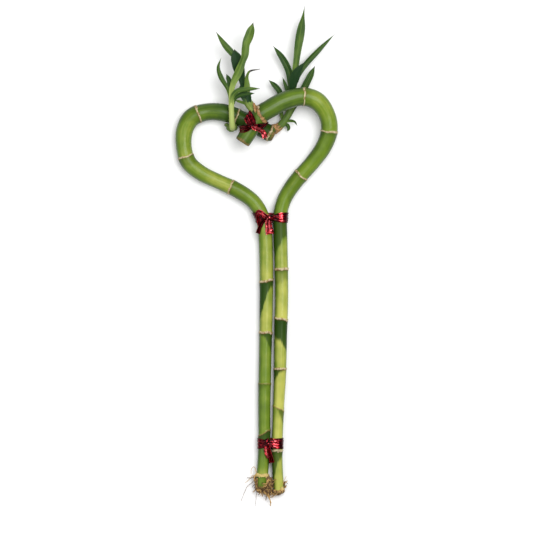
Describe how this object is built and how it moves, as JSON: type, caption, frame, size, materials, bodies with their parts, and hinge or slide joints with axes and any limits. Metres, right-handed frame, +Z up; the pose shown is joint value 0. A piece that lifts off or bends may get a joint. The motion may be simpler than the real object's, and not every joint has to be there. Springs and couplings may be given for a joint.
{
  "type": "lucky bamboo",
  "caption": "Two long green canes tied with red foil and bent into a heart, with leafy shoots where their cut tips cross at the top and bare roots at the foot.",
  "frame": {"origin": "middle of the flat underside of the middle foil tie, at the lower point of the heart, on the surface the plant lies on", "axes": "+Y along the plant from its roots to its leaf tips, +Z up from the surface it lies on, towards the viewer of the picture; +X to the right in the picture"},
  "size_m": [0.1465, 0.4514, 0.0358],
  "materials": {
    "cane": "satin",
    "leaf": "satin",
    "foil": "gloss",
    "root": "matte",
    "sheath": "matte"
  },
  "bodies": {
    "root": {"left_cane": "cane", "right_cane": "cane", "left_shoot": "leaf", "middle_shoot": "leaf", "right_shoot": "leaf", "top_tie": "foil", "middle_tie": "foil", "base_tie": "foil", "left_roots": "root", "right_roots": "root", "left_cane_dry_sheath": "sheath", "right_cane_dry_sheath": "sheath"}
  },
  "joints": []
}
